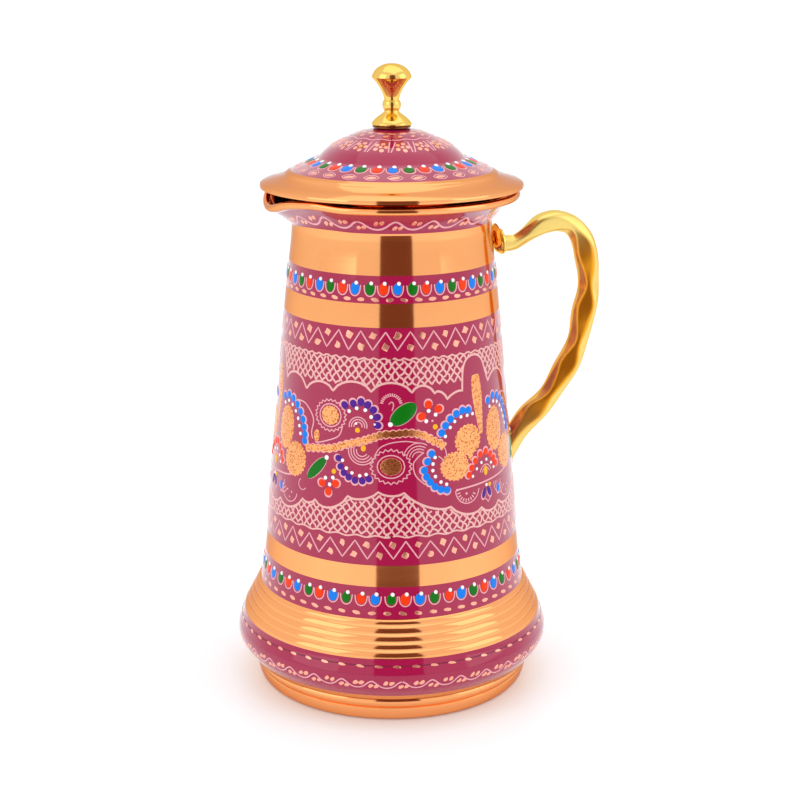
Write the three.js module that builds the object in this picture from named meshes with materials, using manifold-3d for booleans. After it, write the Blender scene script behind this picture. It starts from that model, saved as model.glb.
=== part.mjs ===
// Spun copper water jug with a lift-off lid, a turned brass knob and a cast brass handle.
// Millimetres, +Z up. The origin is on the jug's axis in the plane of its flat base.
// The handle stands along +X and the spout opens along -X.
import * as THREE from 'three';
import { mergeVertices } from 'three/addons/utils/BufferGeometryUtils.js';
import Module from 'manifold-3d';

const wasm = await Module();
wasm.setup();

// ---- driving dimensions ----
const SHEET = 1.0; // copper sheet of the body and the base pan
const GAP = 0.35; // clearance between pieces that touch
const SEAM_Z = 28.0; // crease where the wall laps over the base pan
const NECK_Z = 223.0; // where the wall starts to flare
const NECK_R = 46.8;
const LIP_R = 57.9; // centre of the rolled lip
const LIP_Z = 236.9;
const LIP_BEAD = 1.8;
const SPOUT_DROP = 4.6; // how far the lip is pushed down at the spout
const SPOUT_HALF = 29; // half width of the spout, degrees round the axis
const SHOULDER_RISE = 0.9; // metal pushed up beside the spout
const RIB_COUNT = 5;
const RIB_LOW_Z = 34.3;
const RIB_HIGH_Z = 50.2;
const RIB_LOW_R = 72.4;
const RIB_HIGH_R = 64.2;
const RIB_DEPTH = 0.55;
const LID_SHEET = 0.9;
const LID_EDGE_R = 61.2;
const LID_EDGE_Z = 241.2;
const LID_TOP_Z = 266.9; // top of the lid under the knob
const COLLAR_R = 45.1; // locating ring under the lid
const COLLAR_LOW_Z = 222.5;
const COLLAR_SHEET = 0.8;
const KNOB_Z = 268.2; // underside of the knob
const SCREW_R = 2.0;
const CLEARANCE_R = 2.45;
const BAR_HALF = 5.5; // half the width of the handle's square bar
const BAR_ROOT = 3.7;
const BAR_EDGE = 10; // exponent that rounds the edges between the bar's eight faces
const BAR_FLAT = 1.52; // mean reach of the hammered corners, 2 for a sharp square
const BAR_DENT = 0.2; // how much that reach swings along the bar
const BAR_DENTS = 5.8; // number of swings from root to foot
const BAR_SWAY = 9; // degrees the bar rocks about its own line
const UPPER_Z = 212.4; // height of the handle's upper screw
const LOWER_Z = 109.5;
const WASHER_TILT = 18; // degrees, lean of the dished washer
const ROUND_SEGS = 44;
const LID_SEGS = 40;
const SMALL_SEGS = 20;
const FINE_NEAR_SPOUT = 0.45; // crowds the wall's facets towards the spout

// ---- materials ----
const copper = () => new THREE.MeshStandardMaterial({ color: 0xe39a63, roughness: 0.2, metalness: 1 });
const lacquer = () => new THREE.MeshStandardMaterial({ color: 0xa33a5e, roughness: 0.3, metalness: 0.3 });
const brass = () => new THREE.MeshStandardMaterial({ color: 0xe0b23c, roughness: 0.25, metalness: 1 });

// ---- helpers ----
const group = new THREE.Group();
group.name = 'copper_water_jug';
const rad = THREE.MathUtils.degToRad;
const v2 = ([r, z]) => new THREE.Vector2(r, z);

function addPiece(name, geometry, material) {
  const mesh = new THREE.Mesh(geometry, material);
  mesh.name = name;
  group.add(mesh);
  return mesh;
}

function bareGeometry(geometry) {
  const bare = geometry.clone();
  bare.deleteAttribute('normal');
  bare.deleteAttribute('uv');
  return mergeVertices(bare, 1e-4);
}

function toSolid(geometry) {
  const bare = bareGeometry(geometry);
  return new wasm.Manifold(new wasm.Mesh({
    numProp: 3,
    vertProperties: new Float32Array(bare.attributes.position.array),
    triVerts: new Uint32Array(bare.index.array),
  }));
}

function fromSolid(solid) {
  const mesh = solid.getMesh();
  const geometry = new THREE.BufferGeometry();
  const position = new Float32Array((mesh.vertProperties.length / mesh.numProp) * 3);
  for (let i = 0; i < position.length / 3; i += 1) {
    for (let k = 0; k < 3; k += 1) {
      position[i * 3 + k] = mesh.vertProperties[i * mesh.numProp + k];
    }
  }
  geometry.setAttribute('position', new THREE.BufferAttribute(position, 3));
  geometry.setIndex(new THREE.BufferAttribute(new Uint32Array(mesh.triVerts), 1));
  geometry.computeVertexNormals();
  return geometry;
}

// Moves every vertex of a geometry through a function of its position.
function reshape(geometry, move) {
  const position = geometry.attributes.position;
  const point = new THREE.Vector3();
  for (let i = 0; i < position.count; i += 1) {
    point.fromBufferAttribute(position, i);
    move(point);
    position.setXYZ(i, point.x, point.y, point.z);
  }
  geometry.computeVertexNormals();
  return geometry;
}

// A ring of revolution about +Z from a profile of [radius, height] that runs
// up the outside and down the inside.
function ring(profile, segments) {
  const loop = [...profile, profile[0]].map(v2);
  return new THREE.LatheGeometry(loop, segments).rotateX(Math.PI / 2);
}

// A solid of revolution about +Z from a profile that starts and ends on the axis.
function turned(profile, segments) {
  return new THREE.LatheGeometry(profile.map(v2), segments).rotateX(Math.PI / 2);
}

// The same profile moved inwards by a sheet's thickness, along its own normals.
function offset(profile, distance) {
  return profile.map(([r, z], i) => {
    const [r0, z0] = profile[Math.max(i - 1, 0)];
    const [r1, z1] = profile[Math.min(i + 1, profile.length - 1)];
    const length = Math.hypot(r1 - r0, z1 - z0);
    return [r - (distance * (z1 - z0)) / length, z + (distance * (r1 - r0)) / length];
  });
}

// Points of an arc in the profile plane, angles in degrees from +radius.
function arc(r, z, radius, from, to, count) {
  return Array.from({ length: count + 1 }, (_, i) => {
    const a = rad(from + ((to - from) * i) / count);
    return [r + radius * Math.cos(a), z + radius * Math.sin(a)];
  });
}

// Angle round the axis from the spout, -180 to 180 degrees.
const fromSpout = (point) => Math.atan2(point.y, -point.x);

function turnTo(point, angle) {
  const r = Math.hypot(point.x, point.y);
  point.x = -r * Math.cos(angle);
  point.y = r * Math.sin(angle);
}

function crowd(geometry) {
  return reshape(geometry, (point) => {
    const angle = fromSpout(point);
    turnTo(point, angle - FINE_NEAR_SPOUT * Math.sin(angle));
  });
}

const hump = (x) => (Math.abs(x) < 1 ? 0.5 * (1 + Math.cos(Math.PI * x)) : 0);

// The spout: the flare and the lip are pushed down, most at the lip.
function beatSpout(geometry) {
  return reshape(geometry, (point) => {
    const angle = THREE.MathUtils.radToDeg(fromSpout(point));
    const rise = THREE.MathUtils.smoothstep(point.z, NECK_Z - 3, LIP_Z - 1);
    const side = hump((Math.abs(angle) - SPOUT_HALF * 1.35) / 16);
    point.z += rise * (SHOULDER_RISE * side - SPOUT_DROP * hump(angle / SPOUT_HALF));
  });
}

// ---- body wall ----
const ribs = [];
for (let i = 0; i < RIB_COUNT; i += 1) {
  const low = i / RIB_COUNT;
  const high = (i + 0.82) / RIB_COUNT;
  const z0 = THREE.MathUtils.lerp(RIB_LOW_Z, RIB_HIGH_Z, low);
  const z1 = THREE.MathUtils.lerp(RIB_LOW_Z, RIB_HIGH_Z, high);
  const r0 = THREE.MathUtils.lerp(RIB_LOW_R, RIB_HIGH_R, low);
  const r1 = THREE.MathUtils.lerp(RIB_LOW_R, RIB_HIGH_R, high);
  ribs.push([r0, z0], [r1 + RIB_DEPTH, z1]);
}
const wallLow = [
  [75.0, SEAM_Z],
  [73.8, 31.3],
];
const wallHigh = [
  [RIB_HIGH_R, RIB_HIGH_Z],
  [62.4, 60.0],
  [61.2, 70.0],
  [59.5, 92.0],
  [57.4, 116.0],
  [54.9, 140.0],
  [52.2, 170.0],
  [49.8, 194.0],
  [47.4, 214.0],
];
const flare = [
  [NECK_R, NECK_Z],
  [47.5, 226.0],
  [49.2, 228.6],
  [52.0, 231.6],
  [55.6, 234.6],
];
const lip = arc(LIP_R, LIP_Z, LIP_BEAD, -100, 170, 7);
const inner = offset([wallLow[0], [RIB_LOW_R, RIB_LOW_Z], ...wallHigh, ...flare], SHEET);
inner[0] = [wallLow[0][0] - SHEET, SEAM_Z];
const wall = ring(
  [...wallLow, ...ribs, ...wallHigh, ...flare, ...lip, ...inner.reverse()],
  ROUND_SEGS,
);
const bodySolid = toSolid(beatSpout(crowd(wall)));

function rodX(radius, x0, x1, z) {
  const rod = new THREE.CylinderGeometry(radius, radius, x1 - x0, SMALL_SEGS);
  return rod.rotateZ(Math.PI / 2).translate((x0 + x1) / 2, 0, z);
}

const screwHoles = [
  toSolid(rodX(CLEARANCE_R, NECK_R - 8, NECK_R + 8, UPPER_Z)),
  toSolid(rodX(CLEARANCE_R, 50, 66, LOWER_Z)),
];
const drilled = screwHoles.reduce((solid, hole) => solid.subtract(hole), bodySolid);
addPiece('body_shell', fromSolid(drilled), lacquer());

// ---- base pan: lower half of the bulge, grooved foot and flat bottom ----
const panTongue = [
  [75.0 - SHEET - GAP, SEAM_Z - GAP],
  [73.2 - SHEET - GAP, 32.6],
  [72.4 - SHEET - GAP, 33.6],
  [71.4 - SHEET - GAP, 33.6],
  [73.4 - SHEET - GAP, SEAM_Z - 0.4],
];
const panOutside = [
  [0, 0],
  [62.6, 0],
  [65.8, 0.9],
  [67.3, 3.6],
  [67.7, 7.0],
  [67.0, 7.7],
  [68.4, 8.4],
  [69.0, 10.9],
  [68.6, 11.6],
  [70.4, 12.6],
  [72.5, 16.3],
  [74.5, 19.6],
  [75.4, 22.8],
  [75.5, 25.4],
  [75.2, SEAM_Z - GAP],
];
const panInside = [
  [74.4, 25.6],
  [74.2, 22.8],
  [73.2, 19.6],
  [71.3, 16.2],
  [66.4, 7.6],
  [65.8, 3.4],
  [62.3, SHEET],
  [0, SHEET],
];
addPiece(
  'base_pan',
  crowd(turned([...panOutside, ...panTongue, ...panInside], ROUND_SEGS)),
  lacquer(),
);

// ---- handle: a square bar with hammered corners, bent in the XZ plane, with a flange at its root ----
const barLine = new THREE.CatmullRomCurve3([
  [54.0, 210.6],
  [59.5, 210.5],
  [63.5, 212.3],
  [67.5, 214.8],
  [71.4, 217.4],
  [75.4, 219.5],
  [82.0, 220.6],
  [89.5, 217.6],
  [95.3, 209.4],
  [98.4, 199.5],
  [98.7, 189.0],
  [97.6, 178.0],
  [95.6, 166.0],
  [91.6, 155.0],
  [87.2, 145.0],
  [80.6, 135.5],
  [71.7, 125.8],
  [63.9, 116.8],
  [58.6, 109.6],
  [54.4, 103.6],
].map(([x, z]) => new THREE.Vector3(x, 0, z)));

// Half width of the bar at t, from the slim root to the full bar.
const barHalf = (t) => THREE.MathUtils.lerp(BAR_ROOT, BAR_HALF, THREE.MathUtils.smoothstep(t, 0.03, 0.3));

const swing = (t, lead) => Math.cos(2 * Math.PI * BAR_DENTS * (t - 0.491) + lead);

// Distance from the bar's line to its surface, for a bar of half width 1.
function barReach(angle, t) {
  const c = Math.abs(Math.cos(angle));
  const s = Math.abs(Math.sin(angle));
  const flat = BAR_FLAT + BAR_DENT * swing(t, 0);
  const norm = c ** BAR_EDGE + s ** BAR_EDGE + ((c + s) / flat) ** BAR_EDGE;
  return norm ** (-1 / BAR_EDGE);
}

// A straight round bar of unit length, then hammered, scaled and laid along the line.
const roundSection = new THREE.Shape();
roundSection.absarc(0, 0, 1, 0, 2 * Math.PI, false);
const straightBar = new THREE.ExtrudeGeometry(roundSection, {
  depth: 1,
  steps: 46,
  bevelEnabled: false,
  curveSegments: 16,
});
const bar = reshape(straightBar, (point) => {
  const t = THREE.MathUtils.clamp(point.z, 0, 1);
  const centre = barLine.getPointAt(t);
  const along = barLine.getTangentAt(t);
  const angle = Math.atan2(point.y, point.x);
  const reach = barHalf(t) * barReach(angle, t) * Math.hypot(point.x, point.y);
  const turned = angle + rad(BAR_SWAY * swing(t, 1));
  const across = reach * Math.cos(turned);
  const side = reach * Math.sin(turned);
  point.set(centre.x - along.z * across, -side, centre.z + along.x * across);
});

const flange = turned([
  [0, 0],
  [4.6, 0],
  [6.1, 1.5],
  [6.1, 2.6],
  [3.4, 3.4],
  [0, 3.4],
], SMALL_SEGS);
flange.rotateY(rad(90 - 5)).translate(51.9, 0, UPPER_Z - 1.0);

// Everything the jug's wall takes up near the handle, with the clearance added.
const keepOut = crowd(turned([
  [0, 60],
  ...wallHigh.filter(([, z]) => z > 60).map(([r, z]) => [r + GAP, z]),
  [0, 214],
], ROUND_SEGS));

const handle = toSolid(bar)
  .add(toSolid(flange))
  .subtract(toSolid(keepOut))
  .subtract(toSolid(rodX(CLEARANCE_R, NECK_R, 62, UPPER_Z)))
  .subtract(toSolid(rodX(CLEARANCE_R, 50, 63.2, LOWER_Z)));
addPiece('handle', fromSolid(handle), brass());

// ---- dished copper washer between the neck and the handle's flange ----
const washer = ring([
  [7.3, 0],
  [7.2, 0.7],
  [5.0, 1.9],
  [2.9, 2.2],
  [2.9, 1.4],
  [4.8, 1.1],
  [6.5, 0],
], SMALL_SEGS);
washer.rotateY(rad(90 - WASHER_TILT)).translate(49.7, 0, UPPER_Z + 0.5);
const washerSolid = toSolid(washer)
  .subtract(toSolid(flange.clone().translate(-GAP, 0, 0)))
  .subtract(toSolid(rodX(CLEARANCE_R, NECK_R, 58, UPPER_Z)));
addPiece('handle_washer', fromSolid(washerSolid), copper());

// ---- screws from inside the jug, each with its washer ----
function insideScrew(name, wallR, tipX, z) {
  const back = wallR - SHEET - GAP - 0.25;
  const ringPiece = ring([
    [5.2, 0],
    [5.2, 0.9],
    [CLEARANCE_R, 0.9],
    [CLEARANCE_R, 0],
  ], SMALL_SEGS);
  ringPiece.rotateY(Math.PI / 2).translate(back - 0.9, 0, z);
  addPiece(`${name}_inner_washer`, ringPiece, brass());
  const head = back - 0.9 - GAP;
  const screw = turned([
    [0, -2.2],
    [2.2, -2.2],
    [3.9, -1.1],
    [4.1, 0],
    [SCREW_R, 0],
    [SCREW_R, tipX - head],
    [0, tipX - head],
  ], SMALL_SEGS);
  screw.rotateY(Math.PI / 2).translate(head, 0, z);
  addPiece(`${name}_screw`, screw, brass());
}

insideScrew('handle_upper', 47.4, 60.8, UPPER_Z);
insideScrew('handle_lower', 57.8, 62.6, LOWER_Z);

// ---- lid ----
const lidOutside = [
  [LID_EDGE_R, LID_EDGE_Z],
  [60.1, 242.5],
  [55.3, 244.0],
  [49.9, 245.9],
  [49.3, 246.8],
  [47.6, 247.8],
  [44.9, 249.0],
  [40.0, 251.1],
  [35.2, 253.1],
  [33.8, 253.9],
  [32.8, 255.1],
  [30.6, 257.2],
  [28.2, 259.0],
  [21.0, 262.6],
  [12.4, 265.9],
  [5.0, LID_TOP_Z],
  [CLEARANCE_R, LID_TOP_Z],
];
const lidInside = offset([
  [55.3, 244.0],
  [49.3, 246.6],
  [40.0, 251.1],
  [34.6, 253.4],
  [28.2, 258.7],
  [21.0, 262.6],
  [12.4, 265.9],
], LID_SHEET);
const lidProfile = [
  [60.3, LID_EDGE_Z - 1.1],
  [LID_EDGE_R - 0.1, LID_EDGE_Z - 0.9],
  ...lidOutside,
  [CLEARANCE_R, LID_TOP_Z - LID_SHEET],
  [6.6, LID_TOP_Z - LID_SHEET],
  ...lidInside.reverse(),
  [55.0, 242.0],
];
addPiece('lid_cover', ring(lidProfile, LID_SEGS), lacquer());

// Locating ring under the lid, turned out at its top against the lid's underside.
addPiece(
  'lid_collar',
  ring([
    [COLLAR_R, COLLAR_LOW_Z],
    [COLLAR_R, 246.4],
    [48.2, 244.8],
    [48.7, 245.5],
    [COLLAR_R - 0.4, 247.3],
    [COLLAR_R - COLLAR_SHEET, 246.7],
    [COLLAR_R - COLLAR_SHEET, COLLAR_LOW_Z],
  ], LID_SEGS),
  copper(),
);

// ---- knob and its fixing ----
const bore = 9.0; // depth of the hole up into the knob
const knobProfile = [
  [0, bore],
  [CLEARANCE_R, bore],
  [CLEARANCE_R, 0],
  [9.0, 0],
  [9.2, 0.5],
  [9.0, 1.2],
  [6.4, 3.8],
  [3.6, 5.6],
  [3.2, 6.6],
  [3.9, 8.0],
  [4.15, 9.9],
  [3.8, 12.0],
  [3.4, 13.6],
  [5.0, 15.6],
  [7.2, 19.0],
  [8.4, 20.9],
  [9.1, 21.6],
  [8.8, 23.0],
  [7.0, 25.4],
  [4.2, 27.2],
  [0, 28.0],
];
addPiece('knob', turned(knobProfile.map(([r, z]) => [r, z + KNOB_Z]), 28), brass());
addPiece(
  'knob_washer',
  ring([
    [8.8, LID_TOP_Z + GAP],
    [8.8, KNOB_Z - GAP],
    [4.6, KNOB_Z - GAP],
    [4.6, LID_TOP_Z + GAP],
  ], 28),
  copper(),
);
const lidUnder = LID_TOP_Z - LID_SHEET - GAP;
addPiece(
  'knob_inner_washer',
  ring([
    [6.0, lidUnder - 0.9],
    [6.0, lidUnder],
    [CLEARANCE_R, lidUnder],
    [CLEARANCE_R, lidUnder - 0.9],
  ], SMALL_SEGS),
  brass(),
);
const knobHead = lidUnder - 0.9 - GAP;
addPiece(
  'knob_screw',
  turned([
    [0, knobHead - 2.2],
    [2.2, knobHead - 2.2],
    [3.9, knobHead - 1.1],
    [4.1, knobHead],
    [SCREW_R, knobHead],
    [SCREW_R, KNOB_Z + bore - 0.6],
    [0, KNOB_Z + bore - 0.6],
  ], SMALL_SEGS),
  brass(),
);

export default group;
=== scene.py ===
# %% [markdown]
# # Painted copper water jug
# The part is already in its real place as plain metal blanks. This script gives it its looks.
# Each piece is turned or hammered as on the real jug, then lacquered, engraved and dotted with enamel.
# Lengths inside the helpers are in millimetres, because the jug is small. `MM` turns them into metres.

import math
import random

import bpy
from mathutils import Matrix, Vector


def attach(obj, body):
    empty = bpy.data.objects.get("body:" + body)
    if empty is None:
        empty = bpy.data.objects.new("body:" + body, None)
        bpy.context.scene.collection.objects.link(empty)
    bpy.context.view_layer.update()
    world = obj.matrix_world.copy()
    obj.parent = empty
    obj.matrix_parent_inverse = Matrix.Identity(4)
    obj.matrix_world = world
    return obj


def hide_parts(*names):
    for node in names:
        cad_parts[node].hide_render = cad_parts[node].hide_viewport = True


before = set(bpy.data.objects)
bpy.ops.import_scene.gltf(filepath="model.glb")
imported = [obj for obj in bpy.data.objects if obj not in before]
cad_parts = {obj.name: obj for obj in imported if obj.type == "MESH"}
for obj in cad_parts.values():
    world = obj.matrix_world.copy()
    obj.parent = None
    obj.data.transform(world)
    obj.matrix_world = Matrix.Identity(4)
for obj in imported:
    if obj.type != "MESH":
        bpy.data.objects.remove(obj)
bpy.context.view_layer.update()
MM = 0.001

# %% [markdown]
# ## Camera
# A long lens stands a little left of the front, and looks down by about fifteen degrees.
# The long lens keeps the jug's sides calm. It stands at a fixed place, so each picture is the same.
# `FRONT_TURN` is the angle of the jug's front, where every pattern starts counting.

# %% Camera
FRONT_TURN = -105
CAMERA_PLACE = Vector((-0.20699, -0.77249, 0.35345))
CAMERA_DOWN, CAMERA_TURN = 15.146, -15
LENS, SENSOR_WIDTH, SIDE_SHIFT = 77.67, 36, 0.0104

camera_data = bpy.data.cameras.new("camera")
camera_data.lens = LENS
camera_data.sensor_width = SENSOR_WIDTH
camera_data.shift_x = SIDE_SHIFT
camera = bpy.data.objects.new("camera", camera_data)
bpy.context.scene.collection.objects.link(camera)
camera.location = CAMERA_PLACE
camera.rotation_euler = (math.radians(90 - CAMERA_DOWN), 0, math.radians(CAMERA_TURN))
bpy.context.scene.camera = camera
bpy.context.scene.view_settings.view_transform = "Standard"
print("camera is", round(CAMERA_PLACE.length, 2), "m from the foot")

# %% [markdown]
# ## Materials
# `surface` makes a Principled material with plain values on its sockets.
# Patterns are added afterwards, piece by piece, and only where the real surface has one.

# %% A plain surface
def surface(name, colour, metal=0.0, rough=0.3, coat=0.0, edge=(1, 1, 1)):
    """A material with one colour, and its Principled node. `edge` tints what it reflects at a low angle."""
    material = bpy.data.materials.new(name)
    material.use_nodes = True
    shader = material.node_tree.nodes["Principled BSDF"]
    shader.inputs["Base Color"].default_value = (*colour, 1)
    shader.inputs["Metallic"].default_value = metal
    shader.inputs["Roughness"].default_value = rough
    shader.inputs["Coat Weight"].default_value = coat
    shader.inputs["Coat Roughness"].default_value = 0.06
    shader.inputs["Specular Tint"].default_value = (*edge, 1)
    return material, shader


# %% [markdown]
# An effect that several materials share is built once, as a node group with named sockets.
# `group_of` makes the empty group, and `place_group` puts it in a material with its own values.

# %% Node groups
def group_of(name, inputs, outputs):
    """A new shader node group with its input and output nodes. Sockets are {name: kind}."""
    group = bpy.data.node_groups.new(name, "ShaderNodeTree")
    for way, sockets in (("INPUT", inputs), ("OUTPUT", outputs)):
        for word, kind in sockets.items():
            group.interface.new_socket(name=word, in_out=way, socket_type="NodeSocket" + kind)
    return group, group.nodes.new("NodeGroupInput"), group.nodes.new("NodeGroupOutput")


def place_group(material, group, **values):
    """Puts a group in a material and sets the values of its inputs."""
    node = material.node_tree.nodes.new("ShaderNodeGroup")
    node.node_tree = group
    for word, value in values.items():
        node.inputs[word].default_value = value
    return node


def math_node(nodes, links, operation, first, second):
    """A Math node. Each of its two inputs is a number or the socket that feeds it."""
    node = nodes.new("ShaderNodeMath")
    node.operation = operation
    for place, value in enumerate((first, second)):
        if isinstance(value, (int, float)):
            node.inputs[place].default_value = value
        else:
            links.new(value, node.inputs[place])
    return node.outputs["Value"]


# %% [markdown]
# Spun copper keeps fine rings from the polishing wheel. They are far too fine to be modelled,
# so they are noise that changes quickly with height and slowly round the jug. It moves the
# roughness a little and, through a Bump node, the normal.

# %% Polishing rings
RING_STRETCH = (14, 14, 2600)
rings_group, rings_in, rings_out = group_of(
    "polishing rings", {"Place": "Vector", "Low": "Float", "High": "Float", "Depth": "Float"},
    {"Roughness": "Float", "Normal": "Vector"})
squeeze = rings_group.nodes.new("ShaderNodeMapping")
squeeze.inputs["Scale"].default_value = RING_STRETCH
rings = rings_group.nodes.new("ShaderNodeTexNoise")
rings.inputs["Scale"].default_value = 1.0
rings.inputs["Detail"].default_value = 4
sheen = rings_group.nodes.new("ShaderNodeMapRange")
bump = rings_group.nodes.new("ShaderNodeBump")
bump.inputs["Strength"].default_value = 0.5
for source, target in (
        (rings_in.outputs["Place"], squeeze.inputs["Vector"]),
        (squeeze.outputs["Vector"], rings.inputs["Vector"]),
        (rings.outputs["Fac"], sheen.inputs["Value"]),
        (rings_in.outputs["Low"], sheen.inputs["To Min"]),
        (rings_in.outputs["High"], sheen.inputs["To Max"]),
        (sheen.outputs["Result"], rings_out.inputs["Roughness"]),
        (rings.outputs["Fac"], bump.inputs["Height"]),
        (rings_in.outputs["Depth"], bump.inputs["Distance"]),
        (bump.outputs["Normal"], rings_out.inputs["Normal"])):
    rings_group.links.new(source, target)
print("node group:", rings_group.name)


def polish(material, shader):
    """Gives a spun piece its fine rings."""
    links = material.node_tree.links
    where = material.node_tree.nodes.new("ShaderNodeTexCoord")
    fine = place_group(material, rings_group, Low=0.06, High=0.12, Depth=0.00001)
    links.new(where.outputs["Object"], fine.inputs["Place"])
    links.new(fine.outputs["Roughness"], shader.inputs["Roughness"])
    links.new(fine.outputs["Normal"], shader.inputs["Normal"])


# %% [markdown]
# The bare metals are coloured reflections: a high Metallic, a colour, and little roughness.
# At a low angle a polished metal is almost a mirror, and the edge tint keeps some of its colour there.

# %% Bare metals
COPPER, COPPER_EDGE = (0.96, 0.41, 0.155), (0.72, 0.56, 0.5)
BRASS, BRASS_EDGE = (0.88, 0.58, 0.15), (0.9, 0.7, 0.4)
copper, copper_shader = surface("polished copper", COPPER, metal=1, rough=0.14, edge=COPPER_EDGE)
polish(copper, copper_shader)
brass, _ = surface("polished brass", BRASS, metal=1, rough=0.12, edge=BRASS_EDGE)
print("metals:", copper.name, "and", brass.name)

# %% [markdown]
# The jug is copper with coloured lacquer laid on in bands while it turns on the lathe.
# Thin shells could stand for the lacquer, but a mask keeps the wall one clean sheet.
# Each vertex of the wall remembers the height it had before the spout was beaten,
# so the bands bend down with the lip there.

# %% One band, and the lacquer's look
LACQUER, LACQUER_GLOSS = (0.365, 0.005, 0.058), 0.85
band_group, band_in, band_out = group_of(
    "lacquer band", {"Height": "Float", "Low": "Float", "High": "Float"}, {"Mask": "Float"})
parts = band_group.nodes, band_group.links
over = math_node(*parts, "GREATER_THAN", band_in.outputs["Height"], band_in.outputs["Low"])
under = math_node(*parts, "LESS_THAN", band_in.outputs["Height"], band_in.outputs["High"])
band_group.links.new(math_node(*parts, "MULTIPLY", over, under), band_out.inputs["Mask"])

coat_group, coat_in, coat_out = group_of(
    "lacquer over copper", {"Mask": "Float"},
    {"Base Color": "Color", "Metallic": "Float", "Coat Weight": "Float"})
tint = coat_group.nodes.new("ShaderNodeMix")
tint.data_type = "RGBA"
tint.inputs["A"].default_value = (*COPPER, 1)
tint.inputs["B"].default_value = (*LACQUER, 1)
coat_group.links.new(coat_in.outputs["Mask"], tint.inputs["Factor"])
coat_group.links.new(tint.outputs["Result"], coat_out.inputs["Base Color"])
parts = coat_group.nodes, coat_group.links
metal_left = math_node(*parts, "SUBTRACT", 1, coat_in.outputs["Mask"])
coat_group.links.new(metal_left, coat_out.inputs["Metallic"])
gloss = math_node(*parts, "MULTIPLY", coat_in.outputs["Mask"], LACQUER_GLOSS)
coat_group.links.new(gloss, coat_out.inputs["Coat Weight"])
print("node groups:", band_group.name, "and", coat_group.name)

# %% [markdown]
# `lacquered` adds one band after another to the mask, and lays the coat over the copper where it is.

# %% Lacquer bands over copper
def lacquered(name, bands):
    """Copper with lacquer between each low and high height in millimetres."""
    material, shader = surface(name, COPPER, metal=1, rough=0.14, edge=COPPER_EDGE)
    polish(material, shader)
    nodes = material.node_tree.nodes
    links = material.node_tree.links
    height = nodes.new("ShaderNodeAttribute")
    height.attribute_name = "height"
    mask = 0
    for low, high in bands:
        band = place_group(material, band_group, Low=low, High=high)
        links.new(height.outputs["Fac"], band.inputs["Height"])
        mask = math_node(nodes, links, "ADD", mask, band.outputs["Mask"])
    coat = place_group(material, coat_group)
    links.new(mask, coat.inputs["Mask"])
    for word in ("Base Color", "Metallic", "Coat Weight"):
        links.new(coat.outputs[word], shader.inputs[word])
    shader.inputs["Specular IOR Level"].default_value = 0.2
    return material


WALL_BANDS = [(27, 34.2), (50.4, 65.1), (75.1, 183.8), (194.5, 206.8), (225.4, 234.9)]
wall_paint = lacquered("lacquer bands on copper", WALL_BANDS)
pan_paint = lacquered("lacquer on the base pan", [(15.6, 29)])
lid_paint = lacquered("lacquer on the lid", [(248.1, 300)])
print("lacquer bands on the wall:", len(WALL_BANDS))

# %% [markdown]
# ## Turned pieces
# A spinner presses a copper disc over a wooden former, so the piece is the same all the way round.
# A Screw modifier could do it as well. Spin in edit mode is closer to the lathe and leaves a plain mesh.
# `turned` does that with one vertex: it is drawn out along the profile, then spun through a full turn.

# %% Spin a profile
def start_edit():
    """Adds a single vertex at the origin and stays in edit mode with it selected."""
    bpy.ops.object.select_all(action="DESELECT")
    bpy.ops.mesh.primitive_plane_add(size=0.01)
    bpy.ops.object.mode_set(mode="EDIT")
    bpy.ops.mesh.select_all(action="SELECT")
    bpy.ops.mesh.merge(type="CENTER")
    return bpy.context.active_object


def turned(name, profile, material, steps=256, sharp=32):
    """Spins a profile of (radius, height) points, in millimetres, round the jug's axis."""
    piece = start_edit()
    piece.name = name
    piece.data.name = name
    radius, height = profile[0]
    bpy.ops.transform.translate(value=(radius * MM, 0, height * MM))
    for r, z in profile[1:]:
        step = ((r - radius) * MM, 0, (z - height) * MM)
        bpy.ops.mesh.extrude_region_move(TRANSFORM_OT_translate={"value": step})
        radius, height = r, z
    bpy.ops.mesh.select_all(action="SELECT")
    bpy.ops.mesh.spin(steps=steps, angle=math.tau, center=(0, 0, 0), axis=(0, 0, 1))
    bpy.ops.mesh.select_all(action="SELECT")
    bpy.ops.mesh.remove_doubles(threshold=0.000002)
    bpy.ops.mesh.normals_make_consistent(inside=False)
    bpy.ops.object.mode_set(mode="OBJECT")
    bpy.ops.object.shade_smooth_by_angle(angle=math.radians(sharp))
    finish_piece(piece, material)
    return piece


def finish_piece(piece, material):
    """Keeps the height each vertex has now, and gives the piece its material."""
    heights = piece.data.attributes.new("height", "FLOAT", "POINT")
    for i, vertex in enumerate(piece.data.vertices):
        heights.data[i].value = vertex.co.z / MM
    piece.data.materials.clear()
    piece.data.materials.append(material)
    print(piece.name, len(piece.data.vertices), "vertices")


# %% [markdown]
# Only the outside is lacquered. The side of each sheet that faces the axis or the ground stays bare
# copper. A second material on those faces does it, because a face can be chosen by its normal.

# %% Bare copper on the inside
def bare_inside(piece, under=False):
    """Gives plain copper to the faces that look at the jug's axis, or down."""
    piece.data.materials.append(copper)
    bare = 0
    for face in piece.data.polygons:
        inward = face.normal.z if under else face.normal.x * face.center.x + face.normal.y * face.center.y
        if inward < 0:
            face.material_index = 1
            bare += 1
    print(piece.name, "has", bare, "bare faces")


# %% [markdown]
# The wall tapers from the seam with the base pan up to a narrow neck, and then flares into a lip.
# The lip is rolled over into a bead. Five rolled ribs sit above the seam.

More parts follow.
